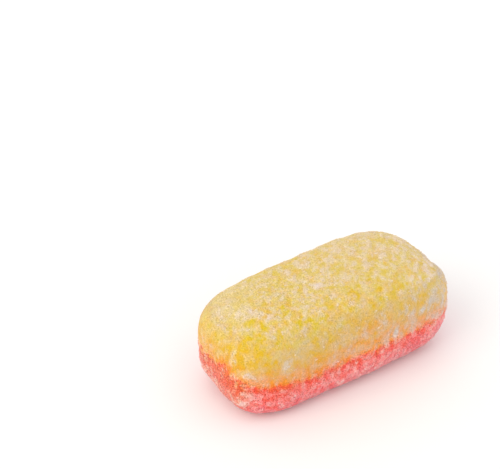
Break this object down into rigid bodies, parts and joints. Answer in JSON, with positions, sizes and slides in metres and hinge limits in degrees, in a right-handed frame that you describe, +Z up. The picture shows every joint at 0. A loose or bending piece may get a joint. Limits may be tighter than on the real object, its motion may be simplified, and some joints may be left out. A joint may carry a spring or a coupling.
{
  "type": "rhubarb and custard sweet",
  "caption": "Pillow-shaped boiled sweet in two fused layers, yellow custard over pink rhubarb, dusted with icing sugar and lying on its broad face.",
  "frame": {"origin": "under the middle of the sweet, on the surface that it rests on", "axes": "+X along the sweet's length, +Y across its width, +Z up from the rhubarb layer to the custard layer"},
  "size_m": [0.0302, 0.0152, 0.0121],
  "materials": {
    "custard_sugar": "opaque yellow boiled sugar under a thin, patchy coat of icing sugar",
    "rhubarb_sugar": "opaque pink boiled sugar, redder at the seam, under a thin coat of icing sugar",
    "icing_sugar": "loose grains and clots of icing sugar stuck to the skin"
  },
  "bodies": {
    "root": {"custard_layer": "custard_sugar", "rhubarb_layer": "rhubarb_sugar"}
  },
  "joints": []
}
